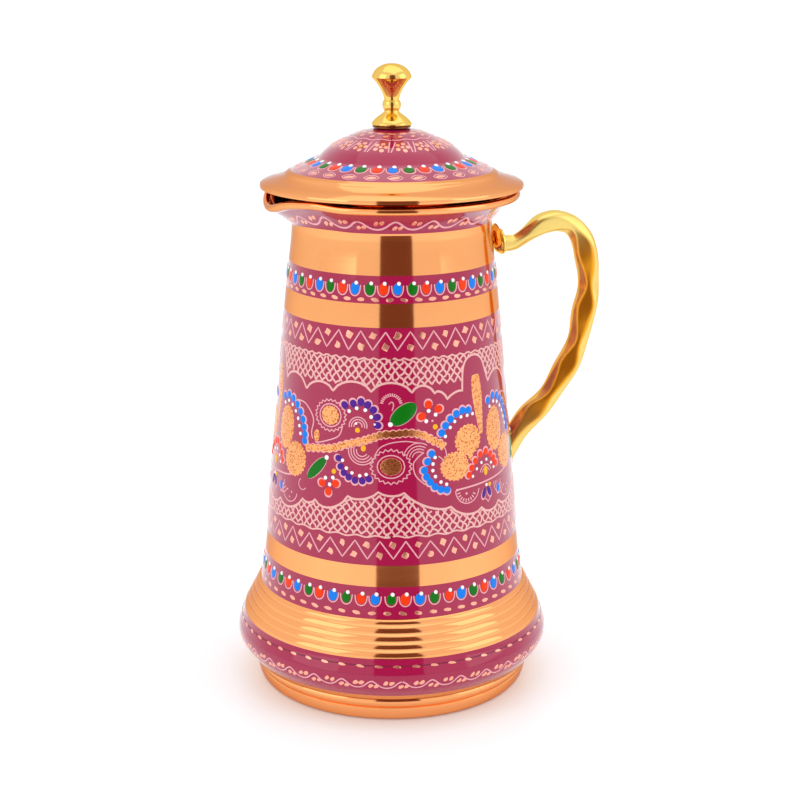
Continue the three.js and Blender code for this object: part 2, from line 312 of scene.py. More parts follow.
# %% The wall's outside
LIP_R, LIP_Z, LIP_BEAD, SHEET = 57.9, 236.9, 1.8, 1.0
SEAM = [(75.0, 28), (73.8, 31.3)]
RIB_LOW, RIB_HIGH = (72.4, 34.3), (64.2, 50.2)
RIB_EDGES = [0, 0.21, 0.41, 0.62, 0.84, 1]
RIB_BULGE, RIB_ROUND, RIB_POINTS = 0.5, 0.8, 9
TAPER = [(62.4, 60), (61.2, 70), (59.5, 92), (57.4, 116), (54.9, 140), (52.2, 170), (49.8, 194)]
NECK = [(47.4, 214), (46.85, 220), (46.8, 223), (47.5, 226), (49.2, 228.6), (52, 231.6), (55.6, 234.6)]


def rib_points():
    """The five rolled ribs: each is a shallow arc between two tight grooves."""
    across = Vector((RIB_HIGH[0] - RIB_LOW[0], RIB_HIGH[1] - RIB_LOW[1]))
    outward = Vector((across.y, -across.x)).normalized()
    ribs = []
    for low, high in zip(RIB_EDGES, RIB_EDGES[1:]):
        for k in range(RIB_POINTS):
            t = k / RIB_POINTS
            place = Vector(RIB_LOW) + across * (low + (high - low) * t)
            ribs.append(tuple(place + outward * RIB_BULGE * math.sin(math.pi * t) ** RIB_ROUND))
    return ribs


def smooth_line(points, parts=4):
    """A smooth line through the points, with a few extra points between each pair."""
    line = []
    ends = [points[0]] + list(points) + [points[-1]]
    for a, b, c, d in zip(ends, ends[1:], ends[2:], ends[3:]):
        for k in range(parts):
            t = k / parts
            line.append(tuple(0.5 * ((2 * q) + (r - p) * t + (2 * p - 5 * q + 4 * r - s) * t * t
                                     + (3 * q - p - 3 * r + s) * t ** 3)
                              for p, q, r, s in zip(a, b, c, d)))
    return line + [tuple(points[-1])]


UPPER_WALL = smooth_line([RIB_HIGH] + TAPER + NECK)
WALL = [(75.18, 27.45)] + SEAM + rib_points() + UPPER_WALL
print("wall profile:", len(WALL), "points")

# %% [markdown]
# The smith beats the spout into the finished lip: the metal sinks in the middle and rises at each side.
# Sculpting could do it too, but a formula is the same each time and can be asked for any point.
# `beaten` gives the height of any point of the wall after that, so the same rule also bends the engraving.

# %% Beat the spout
SPOUT_FOOT, SPOUT_TALL = 220, 15.9
SPOUT_DIP, SPOUT_HALF = 4.6, 29
SHOULDER_RISE, SHOULDER_TURN, SHOULDER_HALF = 0.9, 39.15, 16


def hump(x):
    """A soft hill, one high in the middle and flat beyond its edges."""
    return 0.5 * (1 + math.cos(math.pi * x)) if abs(x) < 1 else 0


def soft_step(value, low=0, high=1):
    """Rises smoothly from 0 to 1 between a low and a high value."""
    t = min(max((value - low) / (high - low), 0), 1)
    return t * t * (3 - 2 * t)


def beaten(x, y, z):
    """The height in millimetres of a wall point, after the spout is beaten in."""
    rise = soft_step((z - SPOUT_FOOT) / SPOUT_TALL)
    off = abs(math.degrees(math.atan2(y, -x)))
    shoulder = SHOULDER_RISE * hump((off - SHOULDER_TURN) / SHOULDER_HALF)
    return z + rise * (shoulder - SPOUT_DIP * hump(off / SPOUT_HALF))


def beat(piece):
    """Moves the piece's vertices to their heights after the spout is beaten in."""
    for vertex in piece.data.vertices:
        x, y, z = vertex.co / MM
        vertex.co.z = beaten(x, y, z) * MM


print("the lip's middle sinks by", SPOUT_DIP, "mm")

# %% [markdown]
# The wall's profile goes up the outside, over the rolled lip and down the inside, and closes on itself,
# so the sheet has a real thickness. It is spun first and beaten afterwards, as on the real jug.

# %% The finished wall
lip_arc = [(LIP_R + LIP_BEAD * math.cos(math.radians(a)), LIP_Z + LIP_BEAD * math.sin(math.radians(a)))
           for a in range(-90, 171, 20)]
inside = [(r - SHEET, z + 0.45 * max(0, min(1, (z - 223) / 8))) for r, z in reversed(WALL[3:-1])]
wall_profile = WALL + lip_arc + inside + [(74.2, 27.9), WALL[0]]
wall = turned("wall", wall_profile, steps=288, sharp=25, material=wall_paint)
bare_inside(wall)
beat(wall)
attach(wall, "jug")
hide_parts("body_shell")

# %% [markdown]
# The base pan is a second sheet, soldered on at the widest place. Its foot has two small rings.
# A tongue of it reaches up inside the wall, so no light shows through the seam.

# %% The base pan
PAN = [(61.0, 0), (62.8, 0.2), (64.2, 0.9), (65.2, 2.1), (65.7, 3.6), (66.15, 5.6), (66.1, 7), (65.5, 7.6),
       (65.6, 7.8), (66.6, 8.2), (67.2, 9.2), (67.4, 10.3), (67.25, 11.2), (66.9, 11.7), (67.3, 12.0)]
PAN_SIDE = [(69.0, 12.8), (71.5, 16.1), (74.0, 19.5), (75.2, 22.8), (75.45, 25.4), (75.2, 27.4)]
PAN_TONGUE = [(73.75, 27.8), (72.55, 31.3), (71.2, 33.6), (70.2, 33.4), (71.5, 31.2), (73.2, 27.4)]
PAN_INSIDE = [(74.3, 25.4), (72.9, 20.2), (68.1, 13.2), (66.0, 11), (65.0, 6), (63.4, 2), (60.7, 1), (0, 1)]
pan_profile = [(0, 0)] + PAN + smooth_line(PAN_SIDE) + PAN_TONGUE + PAN_INSIDE
pan = turned("base_pan_shell", pan_profile, steps=288, sharp=30, material=pan_paint)
bare_inside(pan)
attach(pan, "jug")
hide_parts("base_pan")

# %% [markdown]
# ## Lid
# The lid has a flat copper brim with a rolled hem, then a lacquered dome in two soft steps.
# A copper collar under it drops into the neck and keeps it in place.

# %% Lid cover
BRIM = [(61.25, 241.2), (61.0, 242.0), (60.1, 242.6), (55.3, 244.0), (50.2, 245.6), (49.6, 246.1),
        (49.2, 246.9)]
DOME = [(48.6, 247.3), (47.0, 248.0), (44.9, 249.0), (40, 251.1), (35.2, 253.1), (33.8, 253.9), (32.8, 255.0)]
CROWN = [(30.6, 257.2), (28.2, 259), (25, 260.8), (21, 262.6), (16.6, 264.6), (12.4, 265.9), (8, 266.7),
         (5, 266.9), (2.45, 266.9)]
HEM = [(61.1, 240.3), (60.4, 240.1), (55, 242.0)]
LID = BRIM + smooth_line(DOME + CROWN)
LID_HOLE = (2.45, 266.0)
UNDER = [(r - 0.35, z - 0.85) for r, z in reversed(LID[5:-2]) if r - 0.35 > LID_HOLE[0] + 0.15]
lid_profile = LID + [LID_HOLE] + UNDER + HEM[::-1] + [BRIM[0]]
lid = turned("lid_dome", lid_profile, steps=256, sharp=30, material=lid_paint)
bare_inside(lid, under=True)
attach(lid, "lid")
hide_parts("lid_cover")

# %% [markdown]
# The collar is a ring of plain copper with a narrow flange, which is soldered under the lid. It is seen
# only when the lid is lifted, but then it is bright, so it is turned like the rest.

# %% Collar under the lid
COLLAR = [(45.1, 222.5), (45.1, 246.1), (45.5, 246.2), (48.2, 244.8), (48.7, 245.5), (44.7, 247.3),
          (44.3, 246.7), (44.3, 222.5), (45.1, 222.5)]
collar = turned("lid_collar_ring", COLLAR, steps=192, sharp=30, material=copper)
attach(collar, "lid")
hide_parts("lid_collar")

# %% [markdown]
# ## Knob
# A brass knob is turned from bar: a cone foot, a waist with a bead, and a mushroom head. Each of them
# is a few measured points with a smooth line through them, and the sharp steps lie between the lines.

# %% Knob and the copper washer under it
KNOB_Z = 268.2
KNOB_FOOT = [(0, 9), (2.45, 9), (2.45, 0), (8.8, 0), (9.15, 0.2), (9.25, 0.6), (9.05, 1.1)]
KNOB_WAIST = [(8.2, 2.2), (6.4, 3.8), (4.4, 5.2), (3.45, 6.2)]
KNOB_BEAD = [(3.35, 6.7), (3.9, 7.4), (4.2, 8.6), (4.25, 9.6), (3.95, 10.7), (3.5, 11.3), (3.45, 11.6)]
KNOB_STEM = [(3.45, 11.7), (3.7, 13.1), (4.6, 15.3), (5.8, 17.5), (7.1, 19.3), (8.3, 20.7), (8.85, 21.2)]
KNOB_HEAD = [(9.1, 21.6), (9.0, 22.2), (8.6, 23.4), (7.4, 25.1), (5.6, 26.5), (2.9, 27.6), (0, 27.9)]
knob_line = (KNOB_FOOT + smooth_line(KNOB_WAIST) + smooth_line(KNOB_BEAD) + smooth_line(KNOB_STEM)
             + smooth_line(KNOB_HEAD))
knob = turned("turned_knob", [(r, z + KNOB_Z) for r, z in knob_line], steps=96, sharp=28, material=brass)
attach(knob, "lid")
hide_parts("knob")

washer_line = [(8.8, 267.25), (8.8, 267.85), (4.6, 267.85), (4.6, 267.25), (8.8, 267.25)]
dark_copper, _ = surface("dark copper", (0.25, 0.07, 0.02), metal=1, rough=0.35)
knob_washer = turned("knob_seat", washer_line, steps=96, material=dark_copper)
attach(knob_washer, "lid")
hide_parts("knob_washer")

# %% [markdown]
# ## Handle
# A square brass bar has its corners hammered down, so eight uneven faces run along it, and is bent
# to an ear shape. One section is drawn and carried along the bend while its corners come and go.
# The struck corners keep the brass's pale colour, and the flats between them get a warm orange that is a
# painted reflection.
# A curve with a bevel object keeps one section all the way, so the sections are worked out here.

# %% The handle's bend
BEND = [(54, 210.6), (59.5, 210.5), (63.5, 212.3), (67.5, 214.8), (71.4, 217.4), (75.4, 219.5), (82, 220.6),
        (89.5, 217.6), (95.3, 209.4), (98.4, 199.5), (98.7, 189), (97.6, 178), (95.6, 166), (91.6, 155),
        (87.2, 145), (80.6, 135.5), (71.7, 125.8), (63.9, 116.8), (58.6, 109.6), (54.4, 103.6)]


def along(line, count):
    """Evenly spaced points on a line of (x, z) points."""
    steps = [math.dist(a, b) for a, b in zip(line, line[1:])]
    total = sum(steps)
    points = []
    for k in range(count):
        want = total * k / (count - 1)
        i = 0
        while i < len(steps) - 1 and want > steps[i]:
            want -= steps[i]
            i += 1
        t = min(want / steps[i], 1)
        points.append(tuple(p + (q - p) * t for p, q in zip(line[i], line[i + 1])))
    return points


def hammered_point(turn, half, corner):
    """A point of a square whose corners are cut off at `corner` times its half width."""
    c, s = abs(math.cos(turn)), abs(math.sin(turn))
    reach = half / (c ** 16 + s ** 16 + ((c + s) / corner) ** 16) ** (1 / 16)
    return reach * math.cos(turn), reach * math.sin(turn)


PAINTED = smooth_line(PAN_SIDE) + SEAM + [RIB_LOW] + UPPER_WALL


def wall_radius(z):
    """The wall's outside radius at a height, in millimetres."""
    for (r0, z0), (r1, z1) in zip(PAINTED, PAINTED[1:]):
        if z0 <= z <= z1:
            return r0 + (r1 - r0) * (z - z0) / max(z1 - z0, 0.000001)
    return PAINTED[-1][0]


BAR_STEPS, BAR_SIDES = 200, 64
bend = along(smooth_line(BEND, 6), BAR_STEPS)
print("the handle's bend has", len(bend), "steps")

# %% [markdown]
# Each section is a square with its corners cut off. The hammer's blows follow each other along the
# bar: where one fell, the section is thinner and its corners are cut more. The bar also turns a
# little as it goes, and it stays outside the wall where its ends meet it.

# %% Hammer out the bar
DENTS, FIRST_DENT = 5.8, 0.491
ROOT_HALF, HALF_GAIN, WALL_GAP = 3.7, 1.8, 0.3
TURN_ALONG, TURN_START = 20, -4


def bar_section(i):
    """The points of one section of the bar in millimetres, and how much painted reflection each of them gets.
    """
    x, z = bend[i]
    x0, z0 = bend[max(i - 1, 0)]
    x1, z1 = bend[min(i + 1, BAR_STEPS - 1)]
    length = math.hypot(x1 - x0, z1 - z0)
    side_x, side_z = (z1 - z0) / length, -(x1 - x0) / length
    t = i / (BAR_STEPS - 1)
    ease = soft_step(t, 0.03, 0.3)
    beat_at = math.tau * DENTS * (t - FIRST_DENT)
    half = (ROOT_HALF + HALF_GAIN * ease) * (0.98 + 0.06 * math.cos(beat_at))
    corner = 1.5 + 0.2 * math.cos(beat_at) + 0.04 * math.sin(t * 71)
    twist = math.radians(TURN_ALONG * ease + TURN_START + 2.5 * math.cos(beat_at + 1))
    sway = 0.45 * ease * math.sin(beat_at + 0.4)
    # Painted reflection: the orange on the flats stands for what the bar reflects. It is missing near the top
    # and weaker near the foot.
    reflected_share = soft_step(t, 0.22, 0.34) * (1 - 0.45 * soft_step(t, 0.78, 0.88))
    points, painted_reflection = [], []
    for k in range(BAR_SIDES):
        a, b = hammered_point(math.tau * k / BAR_SIDES, half, corner)
        u = a * math.cos(twist) - b * math.sin(twist) + sway
        v = a * math.sin(twist) + b * math.cos(twist)
        px, py, pz = x + u * side_x, v, z + u * side_z
        near = wall_radius(pz) + WALL_GAP
        if math.hypot(px, py) < near:
            px = math.sqrt(max(near * near - py * py, 0))
        points.append((px, py, pz))
        painted_reflection.append(soft_step(max(abs(a), abs(b)) / half, 0.9, 0.975) * reflected_share)
    return points, painted_reflection


bar_points, bar_painted_reflection = [], []
for i in range(BAR_STEPS):
    points, painted_reflection = bar_section(i)
    bar_points += [(x * MM, y * MM, z * MM) for x, y, z in points]
    bar_painted_reflection += painted_reflection
bar_faces = [(i * BAR_SIDES + k, i * BAR_SIDES + (k + 1) % BAR_SIDES,
              (i + 1) * BAR_SIDES + (k + 1) % BAR_SIDES, (i + 1) * BAR_SIDES + k)
             for i in range(BAR_STEPS - 1) for k in range(BAR_SIDES)]
bar_faces.append(tuple(range(BAR_SIDES))[::-1])
bar_faces.append(tuple(range((BAR_STEPS - 1) * BAR_SIDES, BAR_STEPS * BAR_SIDES)))
bar_mesh = bpy.data.meshes.new("hammered_bar")
bar_mesh.from_pydata(bar_points, [], bar_faces)
print("bar:", len(bar_points), "points in", BAR_STEPS, "sections")

# %% [markdown]
# The bar's brass has two tones, and the orange one is a painted reflection on the flats. Each vertex
# remembers how much of it it gets, and the material mixes the two colours by that.
# An image could do the same, but it would need a UV map.

# %% The bar's brass
def make_outward(mesh):
    """Turns the faces of a closed mesh outward and smooths it."""
    piece = bpy.data.objects.new(mesh.name, mesh)
    bpy.context.scene.collection.objects.link(piece)
    bpy.ops.object.select_all(action="DESELECT")
    bpy.context.view_layer.objects.active = piece
    piece.select_set(True)
    bpy.ops.object.mode_set(mode="EDIT")
    bpy.ops.mesh.select_all(action="SELECT")
    bpy.ops.mesh.normals_make_consistent(inside=False)
    bpy.ops.object.mode_set(mode="OBJECT")
    bpy.ops.object.shade_smooth_by_angle(angle=math.radians(24))
    return piece


# The orange tone is a painted reflection on the flats, not a tarnish of the brass.
PALE_BRASS, PAINTED_REFLECTION_BRASS = (0.86, 0.62, 0.18), (0.9, 0.36, 0.02)
STRUCK_EDGE = (0.95, 0.85, 0.55)
hammered_brass, hammered_shader = surface("hammered brass", PALE_BRASS, metal=1, rough=0.3, edge=STRUCK_EDGE)
brass_nodes, brass_links = hammered_brass.node_tree.nodes, hammered_brass.node_tree.links
reflection_mask = brass_nodes.new("ShaderNodeAttribute")
reflection_mask.attribute_name = "painted_reflection"
two_tone = brass_nodes.new("ShaderNodeMix")
two_tone.data_type = "RGBA"
two_tone.inputs["A"].default_value = (*PALE_BRASS, 1)
two_tone.inputs["B"].default_value = (*PAINTED_REFLECTION_BRASS, 1)
brass_links.new(reflection_mask.outputs["Fac"], two_tone.inputs["Factor"])
brass_links.new(two_tone.outputs["Result"], hammered_shader.inputs["Base Color"])
bar = make_outward(bar_mesh)
finish_piece(bar, hammered_brass)
bar_mesh.attributes.new("painted_reflection", "FLOAT", "POINT").data.foreach_set("value", bar_painted_reflection)
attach(bar, "jug")
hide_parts("handle")

# %% [markdown]
# At the top the bar ends in a small turned flange, and a dished brass washer sits between it and the neck.
# Both are turned on the jug's axis first, because the lathe helper works there, and then leaned over
# to face the wall. The move is made in the mesh, so the pieces themselves stay unturned.

# %% Flange and washer at the handle's root
def lean(piece, angle, place):
    """Turns a piece about the Y axis and moves it to a place in millimetres."""
    spot = Matrix.Translation(Vector(place) * MM)
    piece.data.transform(spot @ Matrix.Rotation(math.radians(angle), 4, "Y"))


FLANGE = [(0, 0), (4.6, 0), (5.7, 0.9), (6.2, 1.7), (6.0, 2.6), (5.0, 3.1), (3.4, 3.5), (0, 3.5)]
DISH = [(2.9, 0), (4.5, 0.3), (6.2, 1.2), (7.2, 2.4), (7.4, 3.0), (7.1, 3.2), (6.8, 2.9), (5.6, 1.7),
        (4.2, 1.1), (2.9, 0.9), (2.9, 0)]
flange = turned("handle_flange", FLANGE, steps=64, sharp=40, material=brass)
lean(flange, 85, (51.9, 0, 211.4))
washer = turned("dished_washer", DISH, steps=64, sharp=40, material=brass)
lean(washer, 80, (49.4, 0, 212.6))
for piece in (flange, washer):
    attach(piece, "jug")
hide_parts("handle")
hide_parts("handle_washer")

# %% [markdown]
# ## Engraving and enamel
# The engraver cuts lines and chips through the lacquer, and drops of coloured enamel are set on it.
# Every mark is a thin closed relief that follows the wall. A mark is placed by `turn`, the degrees
# round from the front, and `up`, the height on the wall or the distance from the axis on the lid.

# %% The two surfaces that carry marks
def wall_spot(turn, up, out):
    """A point on the wall in millimetres, raised by `out`."""
    r = wall_radius(up)
    slope = wall_radius(up + 0.5) - wall_radius(up - 0.5)
    lean_in = 1 / math.hypot(1, slope)
    r += out * lean_in
    a = math.radians(turn + FRONT_TURN)
    x, y = r * math.cos(a), r * math.sin(a)
    return x, y, beaten(x, y, up - out * slope * lean_in)


def lid_height(r):
    """The lid's outside height at a distance from the axis."""
    for (r0, z0), (r1, z1) in zip(LID, LID[1:]):
        if r1 <= r <= r0:
            return z0 + (z1 - z0) * (r0 - r) / max(r0 - r1, 0.000001)
    return LID[-1][1]


def lid_spot(turn, up, out):
    """A point on the lid in millimetres, raised by `out`."""
    slope = lid_height(up - 0.5) - lid_height(up + 0.5)
    lean_in = 1 / math.hypot(1, slope)
    a = math.radians(turn + FRONT_TURN)
    r = up + out * slope * lean_in
    return r * math.cos(a), r * math.sin(a), lid_height(up) + out * lean_in


class Surface:
    """A surface that takes marks, with its own store of relief for each colour."""

    def __init__(self, body, spot, radius):
        self.body, self.spot, self.radius = body, spot, radius
        self.store = {}

    def shift(self, turn, up, dx, dy):
        """Moves by dx round and dy up, in millimetres."""
        return turn + math.degrees(dx / self.radius(up)), up + dy


jug_face = Surface("jug", wall_spot, wall_radius)
lid_face = Surface("lid", lid_spot, lambda up: up)
print("the wall's front is at", FRONT_TURN, "degrees")

# %% [markdown]
# A `stroke` is one pull of the graver: a narrow ribbon with sloping sides. A curve with a bevel would
# leave the wall between its points, so the ribbon is laid on the wall point by point.

# %% Strokes
def spaced(face, line, step=1.3):
    """The line with points about one step apart, so that it hugs the wall."""
    points = [line[0]]
    for (t0, u0), (t1, u1) in zip(line, line[1:]):
        run = math.hypot(math.radians(t1 - t0) * face.radius((u0 + u1) / 2), u1 - u0)
        parts = max(1, math.ceil(run / step))
        points += [(t0 + (t1 - t0) * k / parts, u0 + (u1 - u0) * k / parts) for k in range(1, parts + 1)]
    return points


def stroke(face, colour, line, width=0.7, rise=0.07, closed=False, smooth=True, step=1.3):
    """A ribbon along a line of (turn, up) points. Width may be a list, one for each point."""
    if smooth and len(line) > 2:
        line = smooth_line(line, 5)
    line = spaced(face, line, step)
    last = len(line) - 1
    verts, faces = face.store.setdefault(colour, ([], []))
    base = len(verts)
    for i, (turn, up) in enumerate(line):
        before = line[i - 1] if i else (line[-2] if closed else line[0])
        after = line[i + 1] if i < last else (line[1] if closed else line[last])
        dx = math.radians(after[0] - before[0]) * face.radius(up)
        dy = after[1] - before[1]
        size = math.hypot(dx, dy) or 1
        wide = (width[min(int(i * len(width) / (last + 1)), len(width) - 1)]
                if isinstance(width, list) else width) / 2
        nx, ny = -dy / size * wide, dx / size * wide
        for share, out in ((1, -0.1), (0.75, rise), (-0.75, rise), (-1, -0.1)):
            verts.append(face.spot(*face.shift(turn, up, nx * share, ny * share), out))
        if i:
            a, b = base + 4 * (i - 1), base + 4 * i
            faces += [(a + k, b + k, b + (k + 1) % 4, a + (k + 1) % 4) for k in range(4)]
    faces += [(base + 3, base + 2, base + 1, base), tuple(base + 4 * last + k for k in range(4))]


# %% [markdown]
# A `patch` is a chip or a drop: a closed outline with a domed top. Its outline starts as an oval,
# which `uneven` changes a little each time, because every real mark is cut or laid by hand.

# %% Patches
def patch(face, colour, turn, up, outline, rise=0.08, rings=(0.8,), floor=-0.1):
    """A domed patch. Outline points are (right, up) from the middle, in millimetres."""
    verts, faces = face.store.setdefault(colour, ([], []))
    base, n = len(verts), len(outline)
    for share, out in [(1, floor)] + [(s, rise * (1 - 0.5 * s * s)) for s in rings]:
        verts += [face.spot(*face.shift(turn, up, x * share, y * share), out) for x, y in outline]
    verts.append(face.spot(turn, up, rise))
    for layer in range(len(rings)):
        a, b = base + layer * n, base + (layer + 1) * n
        faces += [(a + k, a + (k + 1) % n, b + (k + 1) % n, b + k) for k in range(n)]
    top = base + len(rings) * n
    faces += [(top + k, top + (k + 1) % n, len(verts) - 1) for k in range(n)]
    faces.append(tuple(base + k for k in range(n))[::-1])


def tilted(points, tilt):
    """An outline turned by `tilt` degrees."""
    c, s = math.cos(math.radians(tilt)), math.sin(math.radians(tilt))
    return [(x * c - y * s, x * s + y * c) for x, y in points]


def oval(wide, tall, tilt=0, sides=12, wave=0, waves=0):
    """An oval outline. `wave` makes its edge scalloped."""
    points = []
    for k in range(sides):
        a = math.tau * k / sides
        edge = 1 + wave * abs(math.sin(a * waves / 2))
        points.append((wide / 2 * edge * math.cos(a), tall / 2 * edge * math.sin(a)))
    return tilted(points, tilt)


def uneven(points, amount=0.12):
    """The same outline cut by hand, a little different each time."""
    return [(x * random.uniform(1 - amount, 1 + amount), y * random.uniform(1 - amount, 1 + amount))
            for x, y in points]


def dots(face, colour, places, size=1.9, rise=0.3):
    """Round enamel dots."""
    for turn, up in places:
        patch(face, colour, turn, up, uneven(oval(size, size, sides=10), 0.06), rise, rings=(0.85, 0.5))


def curl(face, turn, up, radius, start, end, width=0.6, tall=None):
    """Part of a circle, from one clock angle to another in degrees."""
    tall = tall or radius
    clock = [math.radians(start + (end - start) * k / 12) for k in range(13)]
    line = [face.shift(turn, up, radius * math.cos(a), tall * math.sin(a)) for a in clock]
    stroke(face, "pink", line, width)


random.seed(3)
print("engraving tools ready")

# %% [markdown]
# ### Vine on the lip and on the foot
# One long wavy line runs round, with a pair of chips above and below it in turn. It is drawn as a
# formula, so that it closes on itself after a whole number of waves.

# %% Vines
def vine(face, waves, middle, swing, width, first, chip):
    """A wavy line right round, and chips in its hollows."""
    line = []
    for k in range(waves * 8 + 1):
        turn = 360 * k / (waves * 8)
        ripple = math.cos(math.tau * k / 8 + 0.35 * math.sin(math.tau * k / 8))
        line.append((first + turn, middle + swing * ripple))
    stroke(face, "pink", line, width, closed=True)
    for k in range(waves):
        for side in (0, 1):
            turn = first + 360 * (k + 0.5 * side + 0.06) / waves
            up = middle + swing * (0.55 if side else -0.55)
            for off in (-0.5, 0.55):
                place = face.shift(turn, up, off * chip, random.uniform(-0.3, 0.3))
                patch(face, "chip", *place, uneven(oval(chip * 0.85, chip * 1.25, -55, 8), 0.2))


vine(jug_face, 19, 229.4, 1.95, 1.0, -17, 2.4)
vine(jug_face, 34, 22.8, 1.75, 0.75, 3.6, 2.6)
print("vines done:", len(jug_face.store["chip"][1]), "chip faces")

# %% [markdown]
# ### Enamel drops
# Blue, green and red drops follow each other round two bands of the jug, and later round the lid.
# Each hangs in an engraved U and has a white dot on its shoulder. A row of short copper dashes runs
# beside them.

# %% Drops, their cups and their dashes
CUP = ((-1, -0.05), (-0.86, -0.5), (-0.5, -0.87), (0, -1), (0.5, -0.87), (0.86, -0.5), (1, -0.05))


def cup(face, turn, up, half, depth, top, flip):
    """The engraved U below a drop."""
    line = [face.shift(turn, up, x * half, y * depth * flip) for x, y in CUP]
    ends = [face.shift(turn, up, x * half * 1.05, top * flip) for x in (-1, 1)]
    stroke(face, "pink", [ends[0]] + line + [ends[1]], 0.65)


def drop_row(face, count, first, up, colours, size, dot, dash_up, dash_count, dash_first, dash, flip=1):
    """A full row of drops, cups and dashes."""
    wide, tall = size
    for k in range(count):
        turn = first + 360 * k / count + random.uniform(-0.4, 0.4)
        scale = random.uniform(0.92, 1.08)
        patch(face, colours[k % 3], turn, up, oval(wide * scale, tall * scale, sides=14), 0.34, (0.85, 0.5))
        cup(face, turn, up, wide * 0.58, tall * 0.57, tall * 0.27, flip)
        spot = face.shift(turn, up, wide * 0.14, flip * tall * 0.42)
        patch(face, "white", *spot, oval(dot, dot * 1.05, sides=10), 0.62, (0.85, 0.5), floor=0.05)
    for k in range(dash_count):
        turn = dash_first + 360 * k / dash_count
        patch(face, "chip", turn, dash_up, uneven(oval(*dash, random.uniform(-14, 6), 8)))


drop_row(jug_face, 48, -4.3, 201.0, ("red", "blue", "green"), (4.3, 5.8), 1.8, 196.2, 48, -1, (4.2, 2.0))
drop_row(jug_face, 57, -0.5, 59.3, ("green", "red", "blue"), (4.7, 5.6), 1.9, 52.9, 56, 4.6, (4.6, 2.0))

FOOT_DASHES = 54
for k in range(FOOT_DASHES):
    patch(jug_face, "chip", 360 * k / FOOT_DASHES + 2, 31.1, uneven(oval(4.4, 1.35, -6, 8)))
# A thin dark ring of painted shade runs round the crease at the top of the seam, along the row of dashes.
stroke(jug_face, "shade", [(t * 4, 31.4) for t in range(91)], 0.5, 0.03, closed=True, smooth=False)
print("drops done:", len(jug_face.store["white"][1]), "faces of white dots")

# %% [markdown]
# ### Zigzags
# A zigzag borders the main field above and below, with a small four-pointed chip in each triangle.
# The chip is an oval of eight points, with every second point drawn in.

# %% Zigzag borders
def zigzag(face, teeth, low, high, first, width, chip, chip_low, chip_high):
    """A zigzag right round, with chips in its triangles."""
    line = [(first + 360 * k / (2 * teeth) + random.uniform(-0.35, 0.35),
             (high if k % 2 == 0 else low) + random.uniform(-0.3, 0.3)) for k in range(2 * teeth)]
    line.append((line[0][0] + 360, line[0][1]))
    stroke(face, "pink", line, width, smooth=False)
    for k in range(2 * teeth):
        turn = first + 360 * k / (2 * teeth)
        up = chip_low if k % 2 == 0 else chip_high
        reach = [1, 0.75] * 4
        shape = [(x * far, y * far) for (x, y), far in zip(oval(chip, chip, 20, 8), reach)]
        patch(face, "chip", turn, up, uneven(shape, 0.24))


zigzag(jug_face, 29, 173.6, 181.9, -3.1, 0.75, 4.3, 175.1, 180.2)
zigzag(jug_face, 32, 78.1, 86.3, 6.0, 0.75, 4.2, 79.9, 84.8)
print("zigzags done")

# %% [markdown]
# ### Nets
# Two nets of crossed lines frame the flowers. The upper one ends in scallops that follow the flowers,
# the lower one rises in the middle. Each edge is a list of cusps with a sag between them, because a
# scallop needs no more, and both edges repeat three times round the jug.

# %% Edges of the nets
REPEAT = 120
UPPER_CUSPS = [(-46.3, 152.6), (-29.6, 154), (-9.9, 155.1), (9.8, 154.7), (21.1, 153.6), (27.8, 150.3),
               (36.6, 153.0)]
UPPER_SAG = [4.0, 4.6, 4.4, 3.4, 2.0, 1.2]
SPEAR_ARCH = [(36.6, 153.0), (36.9, 158), (37.6, 163), (39.6, 166.6), (43.5, 168.4), (48, 167.9),
              (51.3, 165.2), (53.0, 161), (54.3, 157.6), (55.6, 154.5)]
LAST_SCALLOP = [(55.6, 154.5), (59, 157.4), (64.5, 158.6), (70, 156.8), (73.7, 152.6)]
LOWER_CUSPS = [(-62.3, 97.2), (-44.4, 101.3), (-36.9, 102.4), (-20.0, 106.6), (-6.0, 109.4), (5.5, 109.0),
               (27.4, 100.6), (44.8, 97.0), (57.7, 97.2)]
LOWER_SAG = [-4.2, -1.6, -4.4, -2.2, -1.6, -3.0, -3.2, -3.0]


def scallops(cusps, sags):
    """One curved line for each pair of cusps, sagging down or up between them."""
    line = []
    for (t0, u0), (t1, u1), sag in zip(cusps, cusps[1:], sags):
        for k in range(8):
            s = k / 8
            line.append((t0 + (t1 - t0) * s, u0 + (u1 - u0) * s + sag * (1 - (2 * s - 1) ** 2) ** 0.75))
    return line + [cusps[-1]]


upper_edge = scallops(UPPER_CUSPS, UPPER_SAG)[:-1] + smooth_line(SPEAR_ARCH, 3)[:-1]
upper_edge += smooth_line(LAST_SCALLOP, 3)
lower_edge = scallops(LOWER_CUSPS, LOWER_SAG)


def edge_height(edge, turn):
    """The height of an edge at any turn round the jug."""
    start = edge[0][0]
    turn = start + (turn - start) % REPEAT
    for (t0, u0), (t1, u1) in zip(edge, edge[1:]):
        if t0 <= turn <= t1:
            return u0 + (u1 - u0) * (turn - t0) / max(t1 - t0, 0.000001)
    return edge[-1][1]


print("net edges repeat every", REPEAT, "degrees")

# %% [markdown]
# The net is cut as two families of slanted lines that cross. Each line is followed step by step, and
# only the steps between the two edges are cut. Small random shifts keep it from looking printed.

# %% Nets
NET_ROW, NET_REACH, NET_WIDTH = 2.3, 30, 1.0
NET_STEPS = int(NET_REACH / NET_ROW) * 2


